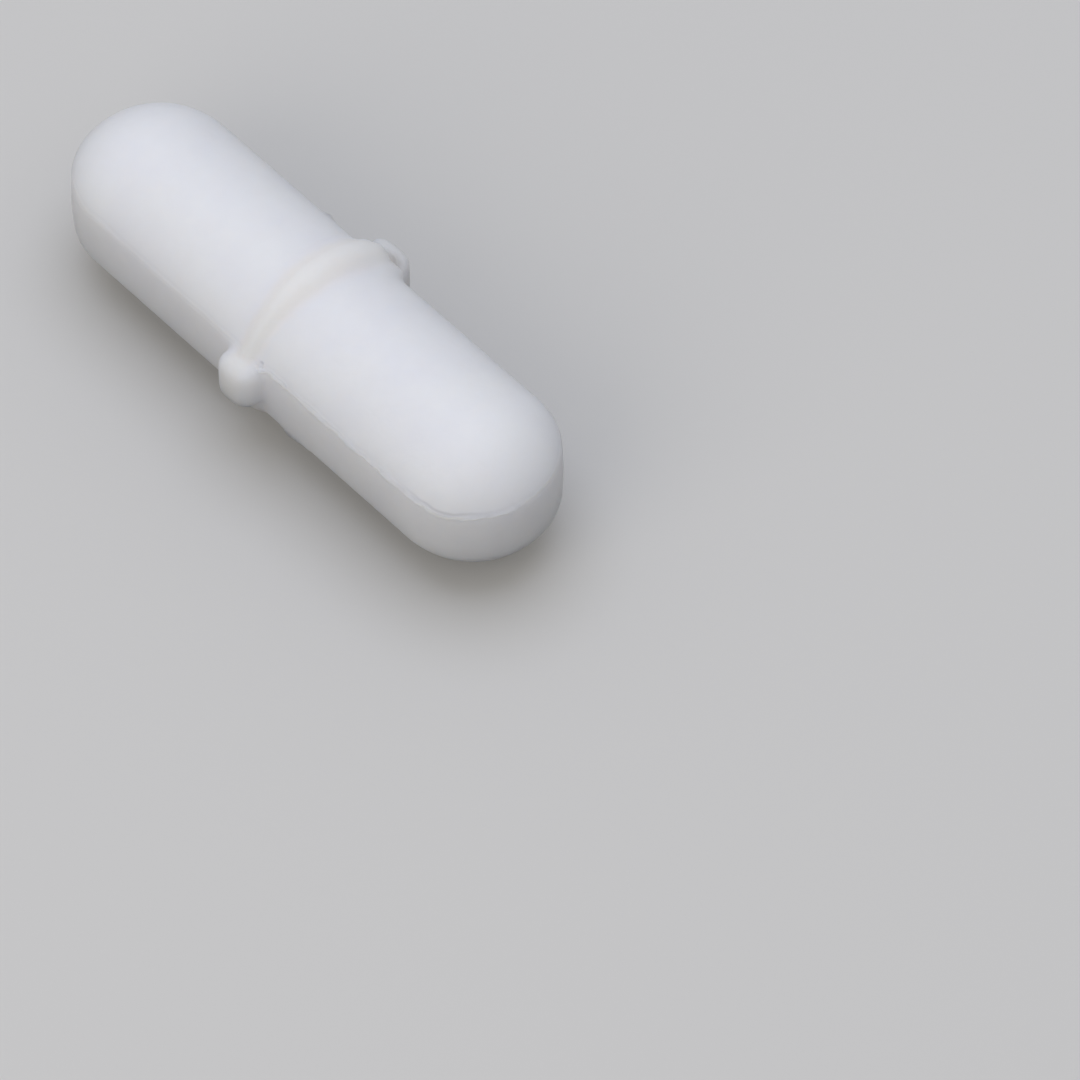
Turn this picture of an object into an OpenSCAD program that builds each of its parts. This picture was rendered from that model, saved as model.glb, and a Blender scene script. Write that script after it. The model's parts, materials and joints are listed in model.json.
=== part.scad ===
// Magnetic stir bar with a pivot ring: a cast bar magnet sealed in a pressed and
// sintered PTFE jacket. The jacket is shaped like a caplet. A die makes its straight
// side band, and two hollow punches make the domes above and below it.
// X runs along the bar, Z is up, and the origin is the middle of the bar.

/* [Jacket] */
// Length over both round ends
jacket_len = 25.4; // [20:0.1:40]
// Width across the straight side bands
jacket_w = 7; // [6:0.1:10]
// Height of the side band between its two rims
band_h = 2.9; // [2:0.02:4]
// Rise of each dome above the band
dome_rise = 2.01; // [1.6:0.01:2.6]
// Width of the land around the foot of each dome
land_w = 0.2; // [0.2:0.01:0.5]
// Radius of the soft edge between land and band
edge_r = 0.12; // [0.05:0.01:0.19]

/* [Pivot ring] */
// Height of the ring above the domes
ring_proud = 0.46; // [0.3:0.02:0.7]
// Width of the flat crest that the bar spins on
ring_flat = 0.16; // [0.1:0.02:0.6]
// Radius that rounds each side of the crest
ring_round = 0.4; // [0.35:0.01:0.6]
// Radius of the fillet along each foot of the ring
ring_fillet = 0.3; // [0.1:0.01:0.4]

/* [Ears] */
// Distance that the middle of each ear stands out from the side band
ear_out = 1.05; // [0.8:0.01:1.4]
// Width of each ear along the bar
ear_w = 1.96; // [1.6:0.02:2.4]
// Radius of the shallow curve across the outer face of an ear
ear_face_r = 2; // [1.5:0.1:4]
// Radius of the two upright outer corners of an ear
ear_corner = 0.42; // [0.3:0.01:0.6]
// Radius of the edges around the top and the underside of an ear
ear_round = 0.26; // [0.1:0.01:0.28]
// Radius of the upright fillets where an ear leaves the band
ear_fillet = 0.3; // [0.1:0.01:0.4]
// Step from the upper rim down to the top of an ear
ear_top_step = 0.03; // [0.02:0.01:0.1]
// Step from the lower rim up to the underside of an ear
ear_foot_step = 0.87; // [0.2:0.01:0.9]

/* [Magnet] */
// Diameter of the bar magnet
magnet_d = 4; // [3:0.1:4.5]
// Length of the bar magnet
magnet_len = 18; // [12:0.1:18.5]
// Chamfer around both ends of the magnet
magnet_chamfer = 0.4; // [0.1:0.05:0.8]
// Gap between magnet and jacket, none where the jacket has shrunk on
magnet_gap = 0; // [0:0.01:0.05]

/* [Hidden] */
$fn = 96;

ptfe_colour = [0.86, 0.87, 0.89];
magnet_colour = [0.42, 0.41, 0.4];

// How far the ring and the ears reach into the jacket that carries them
root_depth = 0.5;
// How far a fillet runs under the surface that it fades into
fade = 0.004;
// A reach that clears the bar on every side
clear = 2 * jacket_len;

// The two round ends turn about upright axes at this distance from the middle
end_axis_x = (jacket_len - jacket_w) / 2;
rim_z = band_h / 2;

// Each dome is an arc over a chord that ends at the inner edge of the land
dome_half_chord = jacket_w / 2 - land_w;
dome_r = (pow(dome_half_chord, 2) + pow(dome_rise, 2)) / (2 * dome_rise);
dome_axis_z = rim_z + dome_rise - dome_r;

// In plan each ear is an arc between two corners that are tangent to it
ear_face_y = jacket_w / 2 + ear_out - ear_face_r;
ear_corner_x = ear_w / 2 - ear_corner;
ear_face_turn = asin(ear_corner_x / (ear_face_r - ear_corner));
ear_corner_y = ear_face_y + (ear_face_r - ear_corner) * cos(ear_face_turn);
ear_fillet_x = ear_w / 2 + ear_fillet - fade;
ear_fillet_y = jacket_w / 2 + ear_fillet - fade;
ear_top_z = rim_z - ear_top_step;
ear_foot_z = ear_foot_step - rim_z;
ear_h = ear_top_z - ear_foot_z;
ear_mid_z = (ear_top_z + ear_foot_z) / 2;

// Rectangle about the origin with four round corners
module rounded_rect(size, radius) {
    square([size.x - 2 * radius, size.y], center = true);
    square([size.x, size.y - 2 * radius], center = true);
    for (sx = [-1, 1], sy = [-1, 1])
        translate([sx * (size.x / 2 - radius), sy * (size.y / 2 - radius)])
            circle(r = radius);
}

// The half of a flat shape that lies on the positive side of its Y axis
module right_half() {
    intersection() {
        children();
        translate([0, -clear / 2])
            square([clear / 2, clear]);
    }
}

// The part of a flat shape that lies above the rim
module above_rim() {
    intersection() {
        children();
        translate([-clear / 2, rim_z])
            square([clear, clear / 2]);
    }
}

// Cross-section of the jacket: side bands, lands and two domes
module jacket_section() {
    rounded_rect([jacket_w, band_h], edge_r);
    for (upper = [0, 1])
        mirror([0, 1 - upper])
            above_rim()
                translate([0, dome_axis_z])
                    circle(r = dome_r);
}

// The jacket without its ring: a straight middle between two turned ends
module caplet() {
    rotate([90, 0, 90])
        linear_extrude(2 * end_axis_x, center = true)
            jacket_section();
    for (turn = [0, 180])
        rotate([0, 0, turn])
            translate([end_axis_x, 0, 0])
                rotate([0, 0, -90])
                    rotate_extrude(angle = 180)
                        right_half()
                            jacket_section();
}

// Section of the ring over the surface that carries it: a flat crest between two round
// shoulders, which run out into the surface through fillets
module ring_section() {
    shoulder_y = ring_proud - ring_round;
    fillet_y = ring_fillet - fade;
    reach = ring_round + ring_fillet;
    foot_x = ring_flat / 2 + sqrt(pow(reach, 2) - pow(fillet_y - shoulder_y, 2));
    // The shoulder and the fillet meet at this height
    turn_y = shoulder_y + (fillet_y - shoulder_y) * ring_round / reach;
    translate([-ring_flat / 2, -root_depth])
        square([ring_flat, ring_proud + root_depth]);
    for (side = [0, 1])
        mirror([side, 0]) {
            translate([ring_flat / 2, shoulder_y])
                circle(r = ring_round);
            difference() {
                translate([0, -root_depth])
                    square([foot_x, turn_y + root_depth]);
                translate([foot_x, fillet_y])
                    circle(r = ring_fillet);
            }
        }
}

// The upper half of the ring: it bends about the same axis as the dome, and runs on past
// the rim into the ears
module half_ring() {
    intersection() {
        translate([0, 0, dome_axis_z])
            rotate([0, 90, 0])
                rotate_extrude()
                    translate([dome_r, 0])
                        rotate([0, 0, -90])
                            ring_section();
        translate([-clear / 2, -clear / 2, 0])
            cube(clear);
    }
}

// Upright section of an ear from its outside in to a given depth, with its two
// outer edges rounded. The outside is at positive X, and the inside at the origin.
module ear_section(depth) {
    right_half()
        rounded_rect([2 * depth, ear_h], ear_round);
}

// The ear at positive Y: a lug that a groove in the die wall leaves on the band
module ear() {
    translate([0, ear_face_y, ear_mid_z])
        rotate([0, 0, 90 - ear_face_turn])
            rotate_extrude(angle = 2 * ear_face_turn)
                ear_section(ear_face_r);
    for (side = [0, 1])
        mirror([side, 0, 0])
            translate([ear_corner_x, ear_corner_y, ear_mid_z])
                rotate_extrude(angle = 90 - ear_face_turn)
                    ear_section(ear_corner);
    translate([0, ear_corner_y, ear_mid_z])
        rotate([90, 0, 0])
            linear_extrude(ear_corner_y - jacket_w / 2 + root_depth)
                rounded_rect([ear_w, ear_h], ear_round);
}

// Upright fillets between the band and both sides of the ear at positive Y
module ear_fillets() {
    for (side = [0, 1])
        mirror([side, 0, 0])
            translate([ear_fillet_x, ear_fillet_y, ear_mid_z])
                rotate([0, 0, 180])
                    rotate_extrude(angle = 90)
                        translate([ear_fillet + root_depth, 0])
                            mirror([1, 0])
                                ear_section(root_depth);
}

// The ring and its ears, all round the middle of the bar
module pivot_ring() {
    for (upper = [0, 1])
        mirror([0, 0, 1 - upper])
            half_ring();
    for (far = [0, 1])
        mirror([0, 1 - far, 0]) {
            ear();
            ear_fillets();
        }
}

// A rod along X with chamfered ends, larger all over by gap
module magnet_rod(gap) {
    rod_r = magnet_d / 2 + gap;
    rod_half = magnet_len / 2 + gap;
    rotate([0, 90, 0])
        rotate_extrude()
            polygon([
                [0, -rod_half],
                [rod_r - magnet_chamfer, -rod_half],
                [rod_r, magnet_chamfer - rod_half],
                [rod_r, rod_half - magnet_chamfer],
                [rod_r - magnet_chamfer, rod_half],
                [0, rod_half],
            ]);
}

// The jacket, moulded in one piece around the magnet
module ptfe_jacket() {
    color(ptfe_colour)
        difference() {
            union() {
                caplet();
                pivot_ring();
            }
            magnet_rod(magnet_gap);
        }
}

// The cast magnet, sealed inside the jacket
module bar_magnet() {
    color(magnet_colour)
        magnet_rod(0);
}

ptfe_jacket();
bar_magnet();
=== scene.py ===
"""Magnetic stir bar with a pivot ring: the pressed and sintered PTFE jacket with its ring,
ears and moulding flash, the cast magnet inside it, and a plain studio. All in metres, in
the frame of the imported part: X runs along the bar and Z is up."""

import json
import math

import bmesh
import bpy
from mathutils import Matrix, Vector, noise

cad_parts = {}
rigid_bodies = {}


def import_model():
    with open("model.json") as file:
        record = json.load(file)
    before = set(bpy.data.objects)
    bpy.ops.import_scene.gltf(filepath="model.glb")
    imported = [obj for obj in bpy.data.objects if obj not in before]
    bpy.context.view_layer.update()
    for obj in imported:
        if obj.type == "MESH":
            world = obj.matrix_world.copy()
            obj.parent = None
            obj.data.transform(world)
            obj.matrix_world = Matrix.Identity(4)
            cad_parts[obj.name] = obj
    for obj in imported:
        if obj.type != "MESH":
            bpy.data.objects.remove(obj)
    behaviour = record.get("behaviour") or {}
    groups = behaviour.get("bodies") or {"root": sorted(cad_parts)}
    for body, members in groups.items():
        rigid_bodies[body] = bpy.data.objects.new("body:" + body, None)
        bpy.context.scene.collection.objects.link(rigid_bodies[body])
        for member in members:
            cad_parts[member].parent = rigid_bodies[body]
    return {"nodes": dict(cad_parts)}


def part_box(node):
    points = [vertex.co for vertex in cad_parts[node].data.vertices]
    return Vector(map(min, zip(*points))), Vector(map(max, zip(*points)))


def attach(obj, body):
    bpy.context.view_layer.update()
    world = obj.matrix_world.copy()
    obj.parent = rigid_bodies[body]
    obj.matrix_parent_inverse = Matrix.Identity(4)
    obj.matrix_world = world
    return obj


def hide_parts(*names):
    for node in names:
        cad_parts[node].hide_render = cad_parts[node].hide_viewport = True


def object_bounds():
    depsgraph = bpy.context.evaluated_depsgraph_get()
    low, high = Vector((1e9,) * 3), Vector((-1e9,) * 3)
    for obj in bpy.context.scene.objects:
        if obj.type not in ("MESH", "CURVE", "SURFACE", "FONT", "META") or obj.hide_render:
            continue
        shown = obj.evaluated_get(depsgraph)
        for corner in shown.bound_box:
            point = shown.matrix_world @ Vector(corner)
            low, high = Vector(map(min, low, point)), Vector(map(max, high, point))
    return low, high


bl_info = {
    "name": "Magnetic stir bar",
    "version": (1, 0, 0),
    "blender": (4, 5, 0),
    "location": "View3D > Sidebar > Stir bar",
    "description": "Models a PTFE stir bar with a pivot ring, its flash and its magnet",
    "category": "Object",
}

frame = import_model()
CAD_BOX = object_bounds()
JACKET_LOW, JACKET_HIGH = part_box("ptfe_jacket")

MM = 0.001
# Corners closer than this to a plane or to each other count as on it or as one
ON = 0.001 * MM
# Where the flash has folded down over the band near the end at +X, and how far around
FOLD = (10.9 * MM, -3.05 * MM, 1.35 * MM)
FOLD_REACH = 1.3 * MM


# ---------------------------------------------------------------- sizes and colours


def hexed(text):
    """Linear colour of an sRGB hex value"""
    values = [int(text[i : i + 2], 16) / 255 for i in (1, 3, 5)]
    return tuple(
        v / 12.92 if v <= 0.04045 else ((v + 0.055) / 1.055) ** 2.4 for v in values
    )


class JacketSizes(bpy.types.PropertyGroup):
    """The pressed PTFE body, without its ring and ears"""

    length: bpy.props.FloatProperty(
        name="Length",
        description="Length over both round ends",
        default=JACKET_HIGH.x - JACKET_LOW.x,
        unit="LENGTH",
    )
    width: bpy.props.FloatProperty(
        name="Width",
        description="Width across the side bands",
        default=7 * MM,
        unit="LENGTH",
    )
    band_height: bpy.props.FloatProperty(
        name="Band height",
        description="Height of the side band between its two rims",
        default=2.9 * MM,
        unit="LENGTH",
    )
    dome_rise: bpy.props.FloatProperty(
        name="Dome rise",
        description="Rise of each dome above the band",
        default=2.01 * MM,
        unit="LENGTH",
    )
    land: bpy.props.FloatProperty(
        name="Land",
        description="Width of the land around the foot of each dome",
        default=0.12 * MM,
        unit="LENGTH",
    )
    edge_radius: bpy.props.FloatProperty(
        name="Edge radius",
        description="Radius of the soft edge between land and band",
        default=0.16 * MM,
        unit="LENGTH",
    )
    bulge: bpy.props.FloatProperty(
        name="Bulge",
        description="How far the middle of the side band stands out past its rims",
        default=0.06 * MM,
        unit="LENGTH",
    )
    voxel: bpy.props.FloatProperty(
        name="Voxel",
        description="Size of the voxels that fuse the moulded forms into one skin",
        default=0.062 * MM,
        unit="LENGTH",
        precision=6,
    )


class RingSizes(bpy.types.PropertyGroup):
    """The pivot ring and the ear on each side"""

    crest_height: bpy.props.FloatProperty(
        name="Crest height",
        description="Height of the ring's crest over the middle of the bar",
        default=JACKET_HIGH.z,
        unit="LENGTH",
    )
    bend: bpy.props.FloatProperty(
        name="Bend",
        description="Radius of the crest as it bends over a dome",
        default=4.3 * MM,
        unit="LENGTH",
    )
    offset: bpy.props.FloatProperty(
        name="Offset",
        description="How far the upper punch sets the ring off the middle, toward +Y",
        default=0.14 * MM,
        unit="LENGTH",
    )
    lower_offset: bpy.props.FloatProperty(
        name="Lower offset",
        description="How far the lower punch sets the ring off the middle, toward +Y",
        default=0.22 * MM,
        unit="LENGTH",
    )
    steep_end: bpy.props.FloatProperty(
        name="Steep end",
        description="Where the upper bead ends, as a distance from the middle plane",
        default=3.8 * MM,
        unit="LENGTH",
    )
    bead_radius: bpy.props.FloatProperty(
        name="Bead radius",
        description="Radius of the round crest of the ring",
        default=0.62 * MM,
        unit="LENGTH",
    )
    bead_width: bpy.props.FloatProperty(
        name="Bead width",
        description="Width of the ring where it is fullest",
        default=1.4 * MM,
        unit="LENGTH",
    )
    ear_reach: bpy.props.FloatProperty(
        name="Ear reach",
        description="Distance of each ear's outer face from the middle plane of the bar",
        default=JACKET_HIGH.y,
        unit="LENGTH",
    )
    ear_width: bpy.props.FloatProperty(
        name="Ear width",
        description="Width of each ear along the bar",
        default=1.96 * MM,
        unit="LENGTH",
    )
    ear_top: bpy.props.FloatProperty(
        name="Ear top",
        description="Height of the top of the ears over the middle of the bar",
        default=1.42 * MM,
        unit="LENGTH",
    )
    ear_lip: bpy.props.FloatProperty(
        name="Ear lip",
        description="How far the outer edge of an ear stands over its top",
        default=0.06 * MM,
        unit="LENGTH",
    )
    lip: bpy.props.FloatProperty(
        name="Lip",
        description="Distance of the inner side of an ear's lip from the middle plane",
        default=3.98 * MM,
        unit="LENGTH",
    )
    trough: bpy.props.FloatProperty(
        name="Trough",
        description="Depth of the trough between the ring and the lip of an ear",
        default=0.3 * MM,
        unit="LENGTH",
    )
    ear_foot: bpy.props.FloatProperty(
        name="Ear foot",
        description="Height of the underside of the ears over the middle of the bar",
        default=-0.68 * MM,
        unit="LENGTH",
    )


class FlashSizes(bpy.types.PropertyGroup):
    """The thin ridge that the joint between punch and die leaves along a rim"""

    thickness: bpy.props.FloatProperty(
        name="Thickness",
        description="Thickness of the flash where it is fullest",
        default=0.24 * MM,
        unit="LENGTH",
        precision=6,
    )
    sag: bpy.props.FloatProperty(
        name="Sag",
        description="How far the flash folds down over the band at the end at +X",
        default=0.2 * MM,
        unit="LENGTH",
        precision=6,
    )


class Finishes(bpy.types.PropertyGroup):
    """Colours of the jacket"""

    ptfe: bpy.props.FloatVectorProperty(
        name="PTFE",
        description="Colour of the sintered PTFE",
        subtype="COLOR",
        default=hexed("#f5f5fb"),
        min=0,
        max=1,
    )
    ptfe_dense: bpy.props.FloatVectorProperty(
        name="Dense PTFE",
        description="Colour of the thicker PTFE of the ring and the ears",
        subtype="COLOR",
        default=hexed("#f9f5f2"),
        min=0,
        max=1,
    )


# ---------------------------------------------------------------- small tools


def only(piece):
    """Leaves edit mode and selects one object alone"""
    if bpy.context.object and bpy.context.object.mode != "OBJECT":
        bpy.ops.object.mode_set(mode="OBJECT")
    bpy.ops.object.select_all(action="DESELECT")
    piece.select_set(True)
    bpy.context.view_layer.objects.active = piece


def named(name):
    """Names the object that an operator has just added"""
    piece = bpy.context.object
    piece.name = name
    piece.data.name = name
    return piece


def settle(piece):
    """Puts the object's place, turn and scale into its mesh"""
    only(piece)
    bpy.ops.object.transform_apply(location=True, rotation=True, scale=True)


def pick(piece, test, kind="VERT"):
    """Enters edit mode with just those vertices or edges selected that pass the test"""
    only(piece)
    bpy.ops.object.mode_set(mode="EDIT")
    bpy.ops.mesh.select_mode(type=kind)
    bpy.ops.mesh.select_all(action="DESELECT")
    mesh = bmesh.from_edit_mesh(piece.data)
    count = 0
    for item in mesh.edges if kind == "EDGE" else mesh.verts:
        if test(item):
            item.select_set(True)
            count += 1
    mesh.select_flush_mode()
    bmesh.update_edit_mesh(piece.data)
    if not count:
        raise RuntimeError(f"nothing to shape on {piece.name}")


def cut(piece, point, normal, fill=True):
    """Bisects the piece and clears what lies on the side that the normal points to"""
    only(piece)
    bpy.ops.object.mode_set(mode="EDIT")
    bpy.ops.mesh.select_all(action="SELECT")
    bpy.ops.mesh.bisect(
        plane_co=point, plane_no=normal, use_fill=fill, clear_outer=True
    )
    bpy.ops.object.mode_set(mode="OBJECT")


def finish_with(piece, kind, **settings):
    """Adds a modifier, gives it its settings and applies it"""
    only(piece)
    modifier = piece.modifiers.new(kind.title(), kind)
    for key, value in settings.items():
        setattr(modifier, key, value)
    bpy.ops.object.modifier_apply(modifier=modifier.name)


def mirrored(piece):
    """Completes a piece with its mirror image toward -X, merged at the seam"""
    finish_with(piece, "MIRROR", use_clip=True, merge_threshold=ON)


def joined(pieces, name):
    """Joins several objects into one"""
    only(pieces[0])
    for piece in pieces:
        piece.select_set(True)
    bpy.ops.object.join()
    return named(name)


# ---------------------------------------------------------------- nodes


def add(tree, kind, settings=None, **links):
    """Adds a node. Settings are its properties; links are its inputs, by name or by
    number (i0, i1 and so on), each a value or another node's output."""
    node = tree.nodes.new(kind)
    for key, value in (settings or {}).items():
        setattr(node, key, value)
    for key, value in links.items():
        numbered = key[0] == "i" and key[1:].isdigit()
        socket = node.inputs[int(key[1:]) if numbered else key.replace("_", " ")]
        if isinstance(value, bpy.types.NodeSocket):
            tree.links.new(value, socket)
        else:
            socket.default_value = value
    return node


def blank(name):
    """A new material with nothing but its output node and its object coordinates"""
    material = bpy.data.materials.new(name)
    material.use_nodes = True
    tree = material.node_tree
    tree.nodes.clear()
    out = add(tree, "ShaderNodeOutputMaterial")
    place = add(tree, "ShaderNodeTexCoord").outputs["Object"]
    return material, tree, out, place


def rgba(text):
    """An sRGB hex value in the form that a colour socket takes"""
    return (*hexed(text), 1)


def maths(tree, operation, *values):
    """A sum, a product or the like of one or two values"""
    links = {f"i{i}": value for i, value in enumerate(values)}
    return add(tree, "ShaderNodeMath", {"operation": operation}, **links).outputs[0]


def mapped(tree, value, low, high, first, last, kind="LINEAR"):
    """A value carried from the range low to high over to the range first to last"""
    return add(
        tree,
        "ShaderNodeMapRange",
        {"interpolation_type": kind},
        Value=value,
        i1=low,
        i2=high,
        i3=first,
        i4=last,
    ).outputs["Result"]


def eased(tree, value, low, high, first, last):
    """The same as mapped, with soft ends"""
    return mapped(tree, value, low, high, first, last, "SMOOTHSTEP")


def mixed(tree, share, first, second, blend="MIX"):
    """Two colours mixed, or blended otherwise, by a share"""
    return add(
        tree,
        "ShaderNodeMix",
        {"data_type": "RGBA", "blend_type": blend},
        i0=share,
        i6=first,
        i7=second,
    ).outputs[2]


def noisy(tree, place, waves, detail, roughness=0.5):
    """Noise of so many waves per millimetre"""
    return add(
        tree,
        "ShaderNodeTexNoise",
        Vector=place,
        Scale=waves / MM,
        Detail=detail,
        Roughness=roughness,
    ).outputs["Fac"]


def apart(tree, place, spot):
    """The distance of a place from a spot"""
    return add(
        tree,
        "ShaderNodeVectorMath",
        {"operation": "DISTANCE"},
        i0=place,
        i1=spot,
    ).outputs["Value"]


def bumped(tree, height, strength, distance, **below):
    """A bump, laid over another one where Normal names it"""
    return add(
        tree,
        "ShaderNodeBump",
        Strength=strength,
        Distance=distance,
        Height=height,
        **below,
    ).outputs["Normal"]


# ---------------------------------------------------------------- materials


def flash_lines(tree, place, split, clear, sizes, flash):
    """How strongly the skin shows the flash along the rims: a thin pale edge, which is a
    painted highlight, and above it the painted shade of its crease. The edge wanders by
    some hundredths of a millimetre, sags where it has folded over near one end, and comes
    and goes."""
    level = maths(tree, "ABSOLUTE", split.outputs["Z"])
    waves = noisy(tree, place, 0.8, 2.0)
    wander = mapped(tree, waves, 0.3, 0.7, -0.05 * MM, 0.05 * MM)
    from_fold = apart(tree, place, FOLD)
    sag = eased(tree, from_fold, 0.0, FOLD_REACH, 0.9 * flash.sag, 0.0)
    level = maths(tree, "ADD", maths(tree, "ADD", level, wander), sag)
    # The edge stays clear of the ring, and it is full toward the end at +X
    patches = mapped(tree, noisy(tree, place, 0.38, 1.0), 0.36, 0.56, 0.25, 1.0)
    patches = maths(tree, "MULTIPLY", patches, clear)
    run = eased(tree, split.outputs["X"], -3 * MM, MM, 0.18, 1.0)
    patches = maths(tree, "MULTIPLY", patches, run)
    # The crease opens only near the fold, and its painted shade shows only there
    open_fold = eased(tree, from_fold, 0.4 * MM, 2.6 * MM, 1.0, 0.12)
    rim = sizes.band_height / 2
    lines = []
    for middle, half, share in (
        (rim - 0.03 * MM, 0.06 * MM, patches),
        (rim + 0.11 * MM, 0.09 * MM, open_fold),
    ):
        away = maths(tree, "ABSOLUTE", maths(tree, "SUBTRACT", level, middle))
        line = eased(tree, away, 0.0, half, 1.0, 0.0)
        lines.append(maths(tree, "MULTIPLY", line, share))
    return lines


def sintered_ptfe(finishes, sizes, flash):
    """PTFE, pressed from powder and sintered: a waxy, slightly see-through white. Light
    sinks in and softens every edge, the sheen is broad, and the powder leaves a faint
    cloudiness and a grain like fine skin."""
    material, tree, out, place = blank("pressed_and_sintered_ptfe")
    split = add(tree, "ShaderNodeSeparateXYZ", Vector=place)

    # Clouds a few millimetres across, where the powder packed more or less densely
    clouds = noisy(tree, place, 0.42, 3.0, 0.55)
    clouds = mapped(tree, clouds, 0.3, 0.7, 0.0, 1.0)
    # Specks of about a tenth of a millimetre
    specks = noisy(tree, place, 6.5, 2.0, 0.6)

    # The ring and the ears are dense and read warmer, in a strip that narrows toward -Y
    strip = (0.4 * MM, 1.3 * MM, 1.0, 0.0)
    across = maths(tree, "ABSOLUTE", split.outputs["X"])
    near_ring = eased(tree, across, *strip)
    narrowing = mapped(tree, split.outputs["Y"], -3.0 * MM, -0.6 * MM, 1.7, 1.0)
    density = eased(tree, maths(tree, "MULTIPLY", across, narrowing), *strip)
    warm = mixed(tree, density, (*finishes.ptfe, 1), (*finishes.ptfe_dense, 1))
    cloudy = mixed(tree, clouds, rgba("#fbfbfa"), rgba("#ffffff"))
    colour = mixed(tree, 1.0, warm, cloudy, "MULTIPLY")

    clear = maths(tree, "SUBTRACT", 1.0, near_ring)
    edge, crease = flash_lines(tree, place, split, clear, sizes, flash)
    # Painted highlight on the flash's edge, and painted shade in its crease
    colour = mixed(tree, edge, colour, rgba("#fffefe"))
    colour = mixed(tree, crease, colour, rgba("#ececeb"), "MULTIPLY")

    # Painted shade in the cleft and the pit beside the ears, darkest at each spot's
    # middle: its middle and its reach in millimetres, and its shade
    for spot, reach, shade in (
        ((0.36, 3.75, 1.36), 0.55, "#dddddd"),
        ((0.73, -3.42, 1.47), 0.17, "#cbcbcb"),
    ):
        away = apart(tree, place, tuple(part * MM for part in spot))
        painted_shade = eased(tree, away, 0.3 * reach * MM, reach * MM, 1.0, 0.0)
        colour = mixed(tree, painted_shade, colour, rgba(shade), "MULTIPLY")

    rough = mapped(tree, clouds, 0.0, 1.0, 0.5, 0.42)
    grain = bumped(tree, specks, 0.25, 0.02 * MM)
    soft = bumped(tree, clouds, 0.3, 0.15 * MM, Normal=grain)
    raised = bumped(tree, edge, 0.6, 0.08 * MM, Normal=soft)
    skin = add(
        tree,
        "ShaderNodeBsdfPrincipled",
        {"subsurface_method": "RANDOM_WALK"},
        Base_Color=colour,
        Roughness=rough,
        IOR=1.36,
        Subsurface_Weight=1.0,
        Subsurface_Scale=3 * MM,
        Subsurface_Radius=(1.0, 0.95, 0.9),
        Normal=raised,
    )
    tree.links.new(skin.outputs["BSDF"], out.inputs["Surface"])
    return material


def cast_alnico():
    """Cast and centreless-ground aluminium-nickel-cobalt alloy: a dull grey metal, ground
    round its length, with fine pits from the casting."""
    material, tree, out, place = blank("cast_and_ground_alnico")
    # Grinding lines run round the bar: nine of them to the millimetre along it, and
    # fifteen times as long as wide
    rings = add(tree, "ShaderNodeMapping", Vector=place, Scale=(15, 1, 1))
    lines = noisy(tree, rings.outputs[0], 0.6, 4.0)
    pits = add(tree, "ShaderNodeTexVoronoi", Vector=place, Scale=2.2 / MM)
    pits = mapped(tree, pits.outputs["Distance"], 0.05, 0.2, 0.0, 1.0)
    ground = bumped(tree, lines, 0.2, 0.01 * MM)
    metal = add(
        tree,
        "ShaderNodeBsdfPrincipled",
        Base_Color=mixed(tree, lines, rgba("#8c8a87"), rgba("#a3a19e")),
        Metallic=1.0,
        Roughness=mapped(tree, lines, 0.3, 0.7, 0.34, 0.5),
        Normal=bumped(tree, pits, 0.5, 0.03 * MM, Normal=ground),
    )
    tree.links.new(metal.outputs["BSDF"], out.inputs["Surface"])
    return material


def matt_card():
    """Matt coated card: a plain pale grey with a barely visible tooth. Pale to the eye
    and in reflections, it throws little light back on the bar."""
    material, tree, out, place = blank("matt_coated_card")
    tooth = noisy(tree, place, 2.5, 2.0)
    card = add(
        tree,
        "ShaderNodeBsdfPrincipled",
        Base_Color=rgba("#dcdad6"),
        Roughness=0.8,
        Normal=bumped(tree, tooth, 0.15, 0.02 * MM),
    )
    rays = add(tree, "ShaderNodeLightPath")
    seen = rays.outputs["Is Camera Ray"]
    for kind in ("Is Glossy Ray", "Is Transmission Ray"):
        seen = maths(tree, "MAXIMUM", seen, rays.outputs[kind])
    dim = add(tree, "ShaderNodeBsdfDiffuse", Color=rgba("#3c3d41"))
    both = add(
        tree,
        "ShaderNodeMixShader",
        i0=seen,
        i1=dim.outputs[0],
        i2=card.outputs["BSDF"],
    )
    tree.links.new(both.outputs[0], out.inputs["Surface"])
    return material


# ---------------------------------------------------------------- the jacket


def half_stretched(piece, reach):
    """Keeps the +X half of a round piece, moves it out to the axis of the bar's round end
    and pulls its open side back to the middle"""
    cut(piece, (0, 0, 0), (-1, 0, 0), fill=False)
    piece.location.x = reach
    settle(piece)
    pick(piece, lambda e: e.is_boundary, "EDGE")
    bpy.ops.mesh.extrude_region_move(TRANSFORM_OT_translate={"value": (-reach, 0, 0)})
    bpy.ops.object.mode_set(mode="OBJECT")


def domes(sizes):
    """The two domes that the hollow punches press: a ball stretched along the bar"""
    half_chord = sizes.width / 2 - sizes.land
    radius = (half_chord**2 + sizes.dome_rise**2) / (2 * sizes.dome_rise)
    rim = sizes.band_height / 2
    bpy.ops.mesh.primitive_uv_sphere_add(
        segments=128, ring_count=64, radius=radius, rotation=(0, math.pi / 2, 0)
    )
    dome = named("dome")
    settle(dome)
    half_stretched(dome, (sizes.length - sizes.width) / 2)
    mirrored(dome)
    dome.location.z = rim + sizes.dome_rise - radius
    settle(dome)
    cut(dome, (0, 0, rim - 1.5 * sizes.land), (0, 0, -1))
    only(dome)
    bpy.ops.object.duplicate()
    lower = named("dome_lower")
    lower.scale.z = -1
    settle(lower)
    only(lower)
    bpy.ops.object.mode_set(mode="EDIT")
    bpy.ops.mesh.select_all(action="SELECT")
    bpy.ops.mesh.flip_normals()
    bpy.ops.object.mode_set(mode="OBJECT")
    return [dome, lower]


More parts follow.
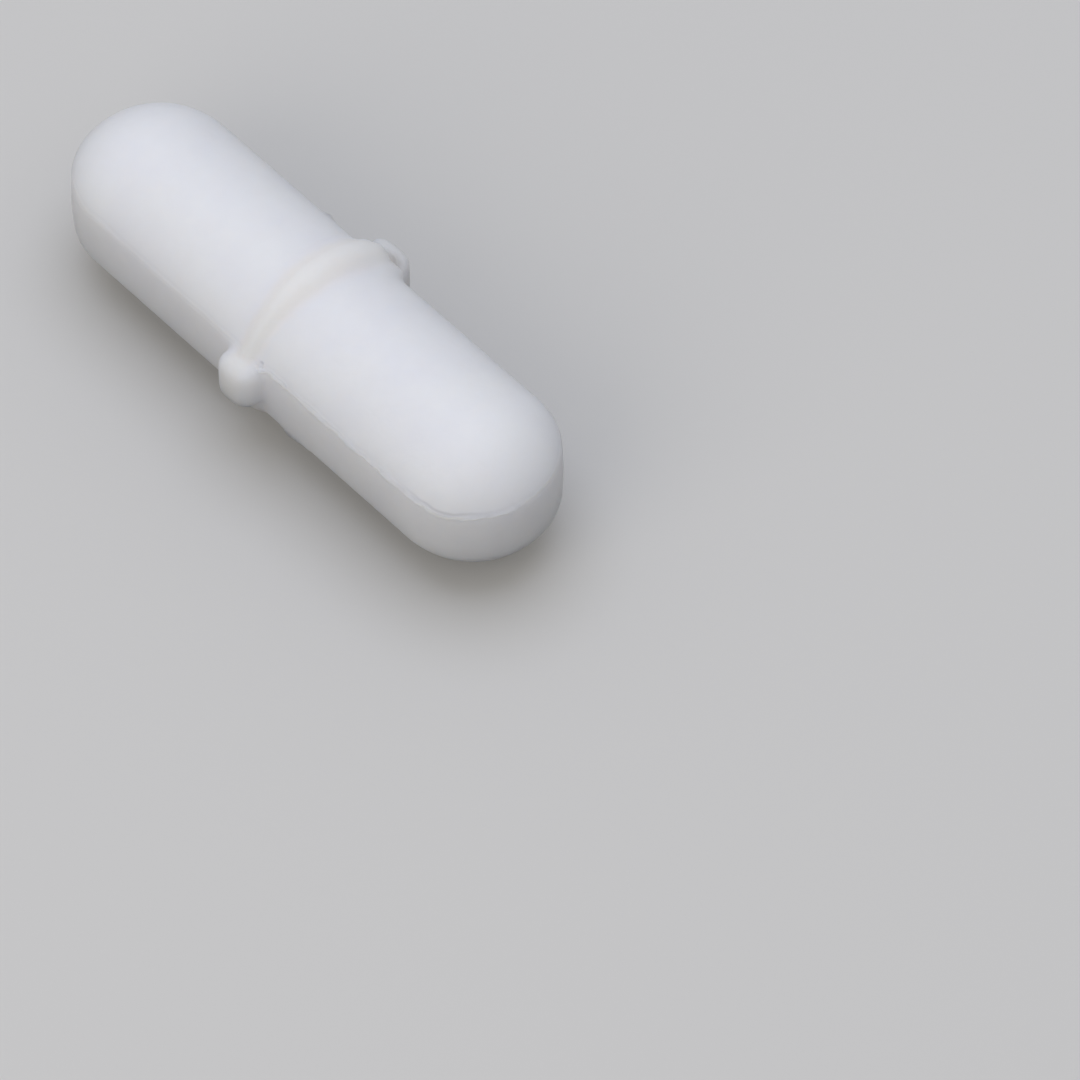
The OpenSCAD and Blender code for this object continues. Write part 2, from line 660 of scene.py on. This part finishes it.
def band(sizes):
    """The side band that the die wall makes. Sintering leaves it slightly full, and both
    of its rims have a soft edge."""
    steps, half = 10, sizes.band_height / 2
    levels = [half * (2 * i / steps - 1) for i in range(steps + 1)]
    reach = [sizes.width / 2 - sizes.bulge * (z / half) ** 2 for z in levels]
    bpy.ops.mesh.primitive_circle_add(
        vertices=192, radius=reach[0], location=(0, 0, -half), fill_type="NGON"
    )
    wall = named("band")
    settle(wall)
    bpy.ops.object.mode_set(mode="EDIT")
    bpy.ops.mesh.select_all(action="SELECT")
    for below, above in zip(reach, reach[1:]):
        bpy.ops.mesh.extrude_region_move(
            TRANSFORM_OT_translate={"value": (0, 0, 2 * half / steps)}
        )
        grow = above / below
        bpy.ops.transform.resize(value=(grow, grow, 1), center_override=(0, 0, 0))
    bpy.ops.mesh.select_all(action="SELECT")
    bpy.ops.mesh.normals_make_consistent(inside=False)
    bpy.ops.object.mode_set(mode="OBJECT")
    half_stretched(wall, (sizes.length - sizes.width) / 2)
    mirrored(wall)
    pick(
        wall,
        lambda e: all(abs(abs(v.co.z) - half) < ON for v in e.verts)
        and e.calc_face_angle(0) > 1,
        "EDGE",
    )
    bpy.ops.mesh.bevel(offset=sizes.edge_radius, segments=4, profile=0.5)
    bpy.ops.object.mode_set(mode="OBJECT")
    return [wall]


def narrowed(bead):
    """Narrows a bead of the ring toward the ear at -Y"""
    start, reach, share = -2.9 * MM, 3.0 * MM, 0.58
    pick(bead, lambda v: v.co.y < start)
    bpy.ops.transform.resize(
        value=(share, 1, 1),
        use_proportional_edit=True,
        proportional_edit_falloff="SMOOTH",
        proportional_size=reach,
    )
    bpy.ops.object.mode_set(mode="OBJECT")


def shelf(ring, axis):
    """The shelf of spread PTFE over the groove of the upper punch. It lies flatter than
    the dome and comes out of it near the crest."""
    turn, tilt = math.radians(50), math.radians(39)
    reach, shift = ring.bend - 0.36 * MM, 0.05 * MM
    length, breadth, depth = 2.5 * MM, 2.0 * MM, 1.1 * MM
    bpy.ops.mesh.primitive_cube_add(
        size=1,
        location=(
            shift,
            ring.offset + reach * math.sin(turn) - depth / 2 * math.sin(tilt),
            axis + reach * math.cos(turn) - depth / 2 * math.cos(tilt),
        ),
        rotation=(-tilt, 0, 0),
        scale=(length, breadth, depth),
    )
    spread = named("spread")
    settle(spread)
    pick(spread, lambda e: True, "EDGE")
    bpy.ops.mesh.bevel(offset=0.4 * MM, segments=6, profile=0.5)
    bpy.ops.object.mode_set(mode="OBJECT")
    return spread


def pivot_ring(ring):
    """The ring that the bar spins on: a bead that bends over both domes, set a little off
    the middle by each punch. Above, it drops to the ear at +Y with a steep end and has
    spread over the groove of its punch."""
    axis = ring.crest_height - ring.bend
    beads = []
    # Each bead's punch, offset, depth below the crest, width and place along the bar. The
    # second makes the soft shoulder toward -X.
    for upper, offset, sunk, width, along in (
        (True, ring.offset, 0, ring.bead_width, 0),
        (True, ring.offset, 0.26 * MM, 2.1 * MM, -0.3 * MM),
        (False, ring.lower_offset, 0, ring.bead_width, 0),
    ):
        bpy.ops.mesh.primitive_torus_add(
            major_segments=160,
            minor_segments=32,
            major_radius=ring.bend - ring.bead_radius - sunk,
            minor_radius=ring.bead_radius,
            rotation=(0, math.pi / 2, 0),
        )
        bead = named("bead")
        settle(bead)
        bead.scale.x = width / (2 * ring.bead_radius)
        bead.location = (along, 0, axis)
        settle(bead)
        cut(bead, (0, 0, 0), (0, 0, -1))
        if not upper:
            bead.rotation_euler.x = math.pi
        bead.location.y = offset
        settle(bead)
        if upper:
            cut(bead, (0, ring.steep_end, 0), (0, 1, 0))
            narrowed(bead)
        beads.append(bead)
    return [*beads, shelf(ring, axis)]


def ears(sizes, ring):
    """The lug on each side, which the bar is held by in its mould. Its outer edges are
    broadly rounded, and behind the upper one the top falls into a trough by the ring."""
    made = []
    root, foot_rounding, top_zone = 0.3 * MM, 0.34 * MM, 0.4 * MM
    inner, outer = sizes.width / 2 - root, ring.ear_reach
    top = ring.ear_top + ring.ear_lip
    # side, shift and growth along the bar, reach of the upper rounding, depth of trough
    for side, shift, growth, reach, trough in (
        (1, -0.12 * MM, 0.2 * MM, 0.5 * MM, ring.trough),
        (-1, 0, 0, 0.66 * MM, 0.2 * ring.trough),
    ):
        bpy.ops.mesh.primitive_cube_add(
            size=1,
            location=(shift, (inner + outer) / 2, (top + ring.ear_foot) / 2),
            scale=(ring.ear_width + growth, outer - inner, top - ring.ear_foot),
        )
        ear = named("ear")
        settle(ear)
        # The outer upright edges are rounded so far that the face is a shallow arc
        pick(
            ear,
            lambda e: all(v.co.y > outer - ON for v in e.verts)
            and abs(e.verts[0].co.z - e.verts[1].co.z) > ON,
            "EDGE",
        )
        bpy.ops.mesh.bevel(offset=0.38 * ring.ear_width, segments=12, profile=0.5)
        for level, rounding in ((top, reach), (ring.ear_foot, foot_rounding)):
            pick(
                ear,
                lambda e: all(abs(v.co.z - level) < ON for v in e.verts)
                and any(v.co.y > inner + ON for v in e.verts),
                "EDGE",
            )
            bpy.ops.mesh.bevel(offset=rounding, segments=8, profile=0.5)
        bpy.ops.mesh.select_all(action="SELECT")
        bpy.ops.mesh.bisect(plane_co=(0, ring.lip, 0), plane_no=(0, 1, 0))
        pick(ear, lambda v: v.co.z > top - top_zone and v.co.y < ring.lip - ON)
        bpy.ops.transform.translate(value=(0, 0, -trough))
        bpy.ops.object.mode_set(mode="OBJECT")
        if side < 0:
            ear.scale.y = -1
            settle(ear)
            only(ear)
            bpy.ops.object.mode_set(mode="EDIT")
            bpy.ops.mesh.select_all(action="SELECT")
            bpy.ops.mesh.normals_make_consistent(inside=False)
            bpy.ops.object.mode_set(mode="OBJECT")
        made.append(ear)
    return made


def ball(name, segments, spot, turn, radii):
    """A ball with three radii, all in millimetres, turned about Z by some degrees"""
    bpy.ops.object.select_all(action="DESELECT")
    bpy.ops.mesh.primitive_uv_sphere_add(
        segments=segments,
        ring_count=segments // 2,
        radius=MM,
        location=tuple(part * MM for part in spot),
        rotation=(0, 0, math.radians(turn)),
        scale=radii,
    )
    piece = named(name)
    settle(piece)
    return piece


def pits():
    """What the mould left unfilled beside the ears: a cleft along the foot of the lip at
    +Y, and a small pit at the foot of the ring at -Y"""
    cleft = ball("pit", 24, (0.26, 3.74, 1.56), -8, (0.8, 0.22, 0.78))
    pit = ball("pit", 24, (0.73, -3.43, 1.46), 15, (0.2, 0.13, 0.28))
    return joined([cleft, pit], "pits")


def mark_ring(piece):
    """Marks the ring, the ears and their feet, fading out along the bar"""
    end, fade = 2.2 * MM, 0.8 * MM
    piece.vertex_groups.clear()
    group = piece.vertex_groups.new(name="ring")
    for corner in piece.data.vertices:
        share = min(1, max(0, (end - abs(corner.co.x)) / fade))
        if share:
            group.add([corner.index], share, "REPLACE")


def keep_main_shell(piece):
    """Clears the loose specks that a remesh can leave beside the main shell"""
    tip = max(piece.data.vertices, key=lambda v: v.co.x).index
    pick(piece, lambda v: v.index == tip)
    bpy.ops.mesh.select_linked()
    bpy.ops.mesh.select_all(action="INVERT")
    bpy.ops.mesh.delete(type="VERT")
    bpy.ops.object.mode_set(mode="OBJECT")


def fit_to_box(piece, low, high):
    """Gives back what the smoothing took, so that the piece fills its box again"""
    corners = [piece.matrix_world @ Vector(c) for c in piece.bound_box]
    for axis in range(3):
        own = [c[axis] for c in corners]
        piece.scale[axis] = (high[axis] - low[axis]) / (max(own) - min(own))
    settle(piece)


def rim_line(sizes, level, radius, keep):
    """A line that follows the rim at a level, in steps of a tenth of a millimetre, where
    keep(x, y), in millimetres, says so"""
    around, along = 220, 92
    reach = (sizes.length - sizes.width) / 2
    bpy.ops.object.select_all(action="DESELECT")
    bpy.ops.mesh.primitive_circle_add(
        vertices=around, radius=radius, location=(0, 0, level)
    )
    line = named("rim_line")
    settle(line)
    cut(line, (0, 0, 0), (-1, 0, 0), fill=False)
    line.location.x = reach
    settle(line)
    pick(line, lambda v: len(v.link_edges) == 1)
    bpy.ops.mesh.extrude_region_move(TRANSFORM_OT_translate={"value": (-reach, 0, 0)})
    pick(line, lambda e: e.calc_length() > MM, "EDGE")
    bpy.ops.mesh.subdivide(number_cuts=along)
    bpy.ops.object.mode_set(mode="OBJECT")
    mirrored(line)
    pick(line, lambda v: not keep(v.co.x / MM, v.co.y / MM))
    bpy.ops.mesh.delete(type="VERT")
    bpy.ops.object.mode_set(mode="OBJECT")
    return line


def folded(line, sag):
    """Folds a line of flash down by the sag, near one end of the bar"""
    pick(line, lambda v: abs(v.co.x - FOLD[0]) < 0.25 * MM)
    bpy.ops.transform.translate(
        value=(0.02 * MM, -0.03 * MM, -sag),
        use_proportional_edit=True,
        proportional_edit_falloff="SMOOTH",
        proportional_size=FOLD_REACH,
    )
    bpy.ops.object.mode_set(mode="OBJECT")


def ragged(line, thickness, seed):
    """Turns a line into a ridge whose thickness comes and goes, thin at both ends"""
    # Waves per millimetre, and strength, of the broad and the fine unevenness
    broad_waves, broad_part = 0.9, 0.55
    fine_waves, fine_part = 3.1, 0.45
    mean, least, taper = 0.62, 0.12, 6
    only(line)
    bpy.ops.object.convert(target="CURVE")
    line.data.bevel_depth = thickness / 2
    line.data.bevel_resolution = 1
    line.data.use_fill_caps = True
    for spline in line.data.splines:
        last = len(spline.points) - 1
        for i, point in enumerate(spline.points):
            where = point.co.xyz / MM
            broad = noise.noise(where * broad_waves + Vector((seed, 0, 0)))
            fine = noise.noise(where * fine_waves + Vector((0, seed, 0)))
            ends = min(1, i / taper, (last - i) / taper)
            full = mean + broad_part * broad + fine_part * fine
            point.radius = max(least, full * ends)
    bpy.ops.object.convert(target="MESH")
    bpy.ops.object.shade_smooth()
    return bpy.context.object


def flash_runs(sizes, flash):
    """The thin ragged flash along the rims, where punch and die met, with a crumb of PTFE
    where it meets the ear at -Y"""
    rim = sizes.band_height / 2
    radius = sizes.width / 2 - sizes.bulge
    # Each run's level, distance out from the rim, stretch in millimetres, share of the
    # full thickness, and seed. The first goes along the rim at -Y and round the end at
    # +X, where it folds down over the band; a second, fainter fold lies beside it at the
    # foot of the dome; then a stretch of the lower rim, and a burr on the rim at +Y.
    runs = []
    for level, out, keep, share, seed in (
        (rim - 0.04 * MM, 0.04 * MM, lambda x, y: x > 0.72 and y < -0.2, 1, 3.1),
        (rim + 0.06 * MM, -0.17 * MM, lambda x, y: x > 8.2 and y < -2.3, 0.8, 7.7),
        (-rim + 0.02 * MM, 0, lambda x, y: 1.7 < x < 3.5 and y < 0, 0.8, 5.3),
        (rim + 0.01 * MM, 0, lambda x, y: -3.3 < x < -2.5 and y > 0, 1.6, 1.4),
    ):
        line = rim_line(sizes, level, radius + out, keep)
        if not runs:
            folded(line, flash.sag)
        runs.append(ragged(line, share * flash.thickness, seed))
    crumb = ball("crumb", 16, (0.93, -3.58, 1.38), 0, (0.16, 0.12, 0.15))
    return [*runs, crumb]


def smoothed(piece, passes, group=""):
    """Smooths a piece, or just the group of its corners that is named"""
    finish_with(piece, "SMOOTH", factor=0.5, iterations=passes, vertex_group=group)


class STIRBAR_OT_jacket(bpy.types.Operator):
    """Models the PTFE jacket with its ring and ears as one pressed skin"""

    bl_idname = "stirbar.jacket"
    bl_label = "PTFE jacket"
    bl_options = {"REGISTER", "UNDO"}

    def execute(self, context):
        scene = context.scene
        sizes, ring, flash = (
            scene.stirbar_jacket,
            scene.stirbar_ring,
            scene.stirbar_flash,
        )
        # The moulded forms are fused and softened, the ring and the ears most of all
        forms = domes(sizes) + band(sizes) + pivot_ring(ring) + ears(sizes, ring)
        jacket = joined(forms, "pressed_jacket")
        finish_with(jacket, "REMESH", mode="VOXEL", voxel_size=1.15 * sizes.voxel)
        smoothed(jacket, 8)
        mark_ring(jacket)
        smoothed(jacket, 18, "ring")
        # The small faults of the pressing come after that, so they stay crisp
        cutter = pits()
        finish_with(
            jacket, "BOOLEAN", operation="DIFFERENCE", object=cutter, solver="EXACT"
        )
        bpy.data.objects.remove(cutter)
        jacket = joined([jacket, *flash_runs(sizes, flash)], "pressed_jacket")
        finish_with(jacket, "REMESH", mode="VOXEL", voxel_size=sizes.voxel)
        keep_main_shell(jacket)
        smoothed(jacket, 3)
        # The plain domes and bands need fewer faces than the ring and the ears
        mark_ring(jacket)
        finish_with(
            jacket,
            "DECIMATE",
            ratio=0.42,
            vertex_group="ring",
            invert_vertex_group=True,
            vertex_group_factor=1,
        )
        jacket.vertex_groups.clear()
        fit_to_box(jacket, JACKET_LOW, JACKET_HIGH)
        only(jacket)
        bpy.ops.object.shade_smooth()
        jacket.data.materials.clear()
        jacket.data.materials.append(
            sintered_ptfe(scene.stirbar_finishes, sizes, flash)
        )
        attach(jacket, "root")
        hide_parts("ptfe_jacket")
        return {"FINISHED"}


class STIRBAR_OT_magnet(bpy.types.Operator):
    """Gives the sealed bar magnet its cast and ground finish"""

    bl_idname = "stirbar.magnet"
    bl_label = "Bar magnet"
    bl_options = {"REGISTER", "UNDO"}

    def execute(self, context):
        magnet = frame["nodes"]["bar_magnet"]
        finish = cast_alnico()
        for place in magnet.material_slots:
            place.material = finish
        return {"FINISHED"}


# ---------------------------------------------------------------- the studio


def lamp(name, azimuth, elevation, distance, size, power, tint):
    """A soft area lamp that faces the bar. Azimuth 0 stands at -Y, and 90 at +X."""
    a, e = math.radians(azimuth), math.radians(elevation)
    way = Vector(
        (math.sin(a) * math.cos(e), -math.cos(a) * math.cos(e), math.sin(e))
    )
    light = bpy.data.lights.new(name, "AREA")
    light.shape = "DISK"
    light.size = size
    light.energy = power
    light.color = hexed(tint)
    shell = bpy.data.objects.new(name, light)
    bpy.context.scene.collection.objects.link(shell)
    shell.location = way * distance
    shell.rotation_euler = way.to_track_quat("Z", "Y").to_euler()


class STIRBAR_OT_studio(bpy.types.Operator):
    """Lays the floor and sets the lamps and the camera"""

    bl_idname = "stirbar.studio"
    bl_label = "Studio"
    bl_options = {"REGISTER", "UNDO"}

    def execute(self, context):
        scene = context.scene
        ground = CAD_BOX[0].z
        bpy.ops.object.select_all(action="DESELECT")
        bpy.ops.mesh.primitive_plane_add(size=6, location=(0, 0, ground))
        floor = named("floor")
        settle(floor)
        floor.data.materials.append(matt_card())

        lamp(
            "top_softbox",
            azimuth=229,
            elevation=80,
            distance=0.32,
            size=0.34,
            power=0.362,
            tint="#dfe8ff",
        )
        lamp(
            "front_softbox",
            azimuth=8,
            elevation=30,
            distance=0.36,
            size=0.3,
            power=0.26,
            tint="#fffaf2",
        )

        world = bpy.data.worlds.new("studio")
        scene.world = world
        world.use_nodes = True
        back = world.node_tree.nodes["Background"]
        back.inputs["Color"].default_value = rgba("#fafafa")
        back.inputs["Strength"].default_value = 0.505

        # The camera looks down at the bar from +X and -Y, with a long lens
        camera = bpy.data.objects.new("camera", bpy.data.cameras.new("camera"))
        scene.collection.objects.link(camera)
        scene.camera = camera
        eye = Vector((0.1844131, -0.1545539, 0.3092169))
        right = Vector((0.6736284, 0.7390598, -0.0039204))
        up = Vector((-0.5913042, 0.5421212, 0.597046))
        axes = Matrix((right, up, right.cross(up))).transposed()
        camera.matrix_world = Matrix.Translation(eye) @ axes.to_4x4()
        camera.data.sensor_width = 36
        camera.data.lens = 334.3
        camera.data.clip_start = 0.01
        camera.data.clip_end = 20
        scene.view_settings.view_transform = "Standard"
        return {"FINISHED"}


class STIRBAR_PT_panel(bpy.types.Panel):
    """Lists the steps and the sizes of the stir bar"""

    bl_idname = "STIRBAR_PT_panel"
    bl_label = "Stir bar"
    bl_space_type = "VIEW_3D"
    bl_region_type = "UI"
    bl_category = "Stir bar"

    def draw(self, context):
        scene = context.scene
        for step in STEPS:
            self.layout.operator(step.bl_idname)
        for name in GROUPS:
            group = getattr(scene, name)
            box = self.layout.box()
            for key in group.__annotations__:
                box.prop(group, key)


STEPS = (STIRBAR_OT_jacket, STIRBAR_OT_magnet, STIRBAR_OT_studio)
GROUPS = {
    "stirbar_jacket": JacketSizes,
    "stirbar_ring": RingSizes,
    "stirbar_flash": FlashSizes,
    "stirbar_finishes": Finishes,
}


def register():
    for group in GROUPS.values():
        bpy.utils.register_class(group)
    for name, group in GROUPS.items():
        setattr(bpy.types.Scene, name, bpy.props.PointerProperty(type=group))
    for step in (*STEPS, STIRBAR_PT_panel):
        bpy.utils.register_class(step)


def unregister():
    for step in (STIRBAR_PT_panel, *reversed(STEPS)):
        bpy.utils.unregister_class(step)
    for name in GROUPS:
        delattr(bpy.types.Scene, name)
    for group in GROUPS.values():
        bpy.utils.unregister_class(group)


def main():
    register()
    bpy.ops.object.select_all(action="DESELECT")
    bpy.ops.stirbar.jacket()
    bpy.ops.stirbar.magnet()
    bpy.ops.stirbar.studio()


if __name__ == "__main__":
    main()
